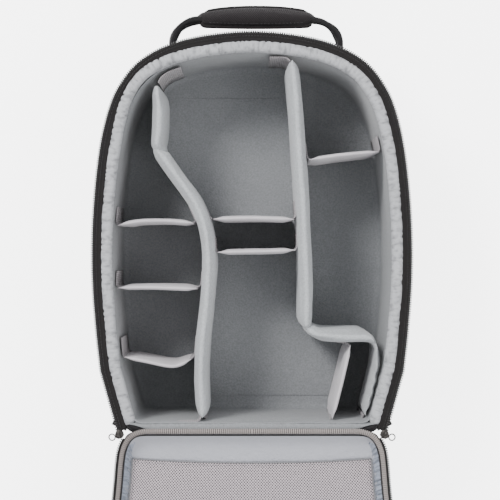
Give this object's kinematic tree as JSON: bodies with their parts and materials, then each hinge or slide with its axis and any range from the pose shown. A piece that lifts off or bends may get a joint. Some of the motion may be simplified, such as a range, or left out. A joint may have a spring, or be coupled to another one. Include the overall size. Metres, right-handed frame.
{
  "type": "camera backpack",
  "caption": "Camera backpack lying on its back, zip-around front panel folded open on its fabric hinge, padded compartments with removable dividers, grab handle at the top.",
  "frame": {"origin": "on the plane that the bag lies on, on the back padding's outer face, under the middle of the main compartment", "axes": "+X towards the bag's right as seen from its open front, +Y towards the grab handle, +Z out of the opening"},
  "size_m": [0.3874, 0.9743, 0.1778],
  "materials": {
    "shell_fabric": "black woven nylon",
    "webbing": "black webbing",
    "padding": "light grey brushed nylon over foam",
    "lining": "grey brushed lining",
    "bead": "light grey padded edging",
    "satin": "satin lining",
    "mesh": "light mesh",
    "binding": "ribbed grosgrain binding",
    "zip_tape": "black zip tape",
    "zip_teeth": "black nylon coil",
    "buckle": "black acetal",
    "metal": "dark painted metal"
  },
  "bodies": {
    "shell": {"back_panel": "shell_fabric", "back_pad": "shell_fabric", "lumbar_pad": "shell_fabric", "shoulder_straps": "shell_fabric", "strap_webbing": "webbing", "ladder_locks": "buckle", "left_gusset": "shell_fabric", "right_gusset": "shell_fabric", "top_gusset": "shell_fabric", "bottom_gusset": "shell_fabric", "hinge_flap": "shell_fabric", "floor_liner": "lining", "wall_liner": "lining", "rim_bead": "bead", "shell_zip_tape": "zip_tape", "shell_zip_teeth": "zip_teeth", "zip_end_tabs": "webbing", "handle_anchors": "webbing", "side_pocket": "shell_fabric", "side_straps": "webbing"},
    "handle": {"handle_grip": "shell_fabric", "handle_webbing": "webbing"},
    "left_slider": {"left_slider": "metal"},
    "left_pull": {"left_pull": "metal"},
    "right_slider": {"right_slider": "metal"},
    "right_pull": {"right_pull": "metal"},
    "lid": {"lid_panel": "shell_fabric", "lid_gusset": "shell_fabric", "lid_lining": "satin", "lid_binding": "binding", "lid_hinge_strip": "shell_fabric", "lid_zip_tape": "zip_tape", "lid_zip_teeth": "zip_teeth", "mesh_pocket": "mesh", "mesh_pocket_band": "satin", "mesh_zip_tape": "satin", "front_pocket": "shell_fabric", "front_zip_tape": "zip_tape"},
    "mesh_slider": {"mesh_slider": "metal"},
    "mesh_pull": {"mesh_pull": "metal"},
    "front_slider": {"front_slider": "metal"},
    "front_pull": {"front_pull": "metal"},
    "left_long_divider": {"left_long_divider": "padding", "left_long_tabs": "padding"},
    "right_long_divider": {"right_long_divider": "padding", "right_long_tabs": "padding"},
    "left_upper_divider": {"left_upper_divider": "padding", "left_upper_tabs": "padding"},
    "left_middle_divider": {"left_middle_divider": "padding", "left_middle_tabs": "padding"},
    "left_lower_divider": {"left_lower_divider": "padding", "left_lower_tabs": "padding"},
    "right_upper_divider": {"right_upper_divider": "padding", "right_upper_tabs": "padding"},
    "centre_upper_divider": {"centre_upper_divider": "padding", "centre_upper_tabs": "padding"},
    "centre_lower_divider": {"centre_lower_divider": "padding", "centre_lower_tabs": "padding"},
    "right_lower_divider": {"right_lower_divider": "padding", "right_lower_tabs": "padding"}
  },
  "joints": [
    {"name": "lid_hinge", "type": "hinge", "parent": "shell", "child": "lid", "pos_m": [0, -0.236, 0.174], "axis": [1, 0, 0], "range_deg": [-197.9, 0]},
    {"name": "handle_swing", "type": "hinge", "parent": "shell", "child": "handle", "pos_m": [0.005, 0.225, 0.12], "axis": [1, 0, 0], "range_deg": [-50, 40]},
    {"name": "left_slider_run", "type": "slide", "parent": "shell", "child": "left_slider", "axis": [-0.2704, 0.9628, 0], "range_m": [0, 0.06]},
    {"name": "left_pull_swing", "type": "hinge", "parent": "left_slider", "child": "left_pull", "pos_m": [-0.15913, -0.24107, 0.1748], "axis": [0.2704, -0.9628, 0], "range_deg": [-150, 0]},
    {"name": "right_slider_run", "type": "slide", "parent": "shell", "child": "right_slider", "axis": [0.2704, 0.9628, 0], "range_m": [0, 0.06]},
    {"name": "right_pull_swing", "type": "hinge", "parent": "right_slider", "child": "right_pull", "pos_m": [0.15913, -0.24107, 0.1748], "axis": [0.2704, 0.9628, 0], "range_deg": [-150, 0]},
    {"name": "mesh_slider_run", "type": "slide", "parent": "lid", "child": "mesh_slider", "axis": [1, 0, 0], "range_m": [0, 0.24]},
    {"name": "mesh_pull_swing", "type": "hinge", "parent": "mesh_slider", "child": "mesh_pull", "pos_m": [-0.12, -0.47338, 0.09554], "axis": [0, 0.9516, 0.3074], "range_deg": [-180, 0]},
    {"name": "front_slider_run", "type": "slide", "parent": "lid", "child": "front_slider", "axis": [1, 0, 0], "range_m": [0, 0.196]},
    {"name": "front_pull_swing", "type": "hinge", "parent": "front_slider", "child": "front_pull", "pos_m": [-0.098, -0.55519, 0.01699], "axis": [0, -0.9516, -0.3074], "range_deg": [-180, 0]},
    {"name": "left_long_lift", "type": "slide", "parent": "shell", "child": "left_long_divider", "axis": [0, 0, 1], "range_m": [0, 0.15]},
    {"name": "right_long_lift", "type": "slide", "parent": "shell", "child": "right_long_divider", "axis": [0, 0, 1], "range_m": [0, 0.15]},
    {"name": "left_upper_lift", "type": "slide", "parent": "shell", "child": "left_upper_divider", "axis": [0, 0, 1], "range_m": [0, 0.15]},
    {"name": "left_middle_lift", "type": "slide", "parent": "shell", "child": "left_middle_divider", "axis": [0, 0, 1], "range_m": [0, 0.15]},
    {"name": "left_lower_lift", "type": "slide", "parent": "shell", "child": "left_lower_divider", "axis": [0, 0, 1], "range_m": [0, 0.15]},
    {"name": "right_upper_lift", "type": "slide", "parent": "shell", "child": "right_upper_divider", "axis": [0, 0, 1], "range_m": [0, 0.15]},
    {"name": "centre_upper_lift", "type": "slide", "parent": "shell", "child": "centre_upper_divider", "axis": [0, 0, 1], "range_m": [0, 0.15]},
    {"name": "centre_lower_lift", "type": "slide", "parent": "shell", "child": "centre_lower_divider", "axis": [0, 0, 1], "range_m": [0, 0.15]},
    {"name": "right_lower_lift", "type": "slide", "parent": "shell", "child": "right_lower_divider", "axis": [0, 0, 1], "range_m": [0, 0.15]}
  ]
}
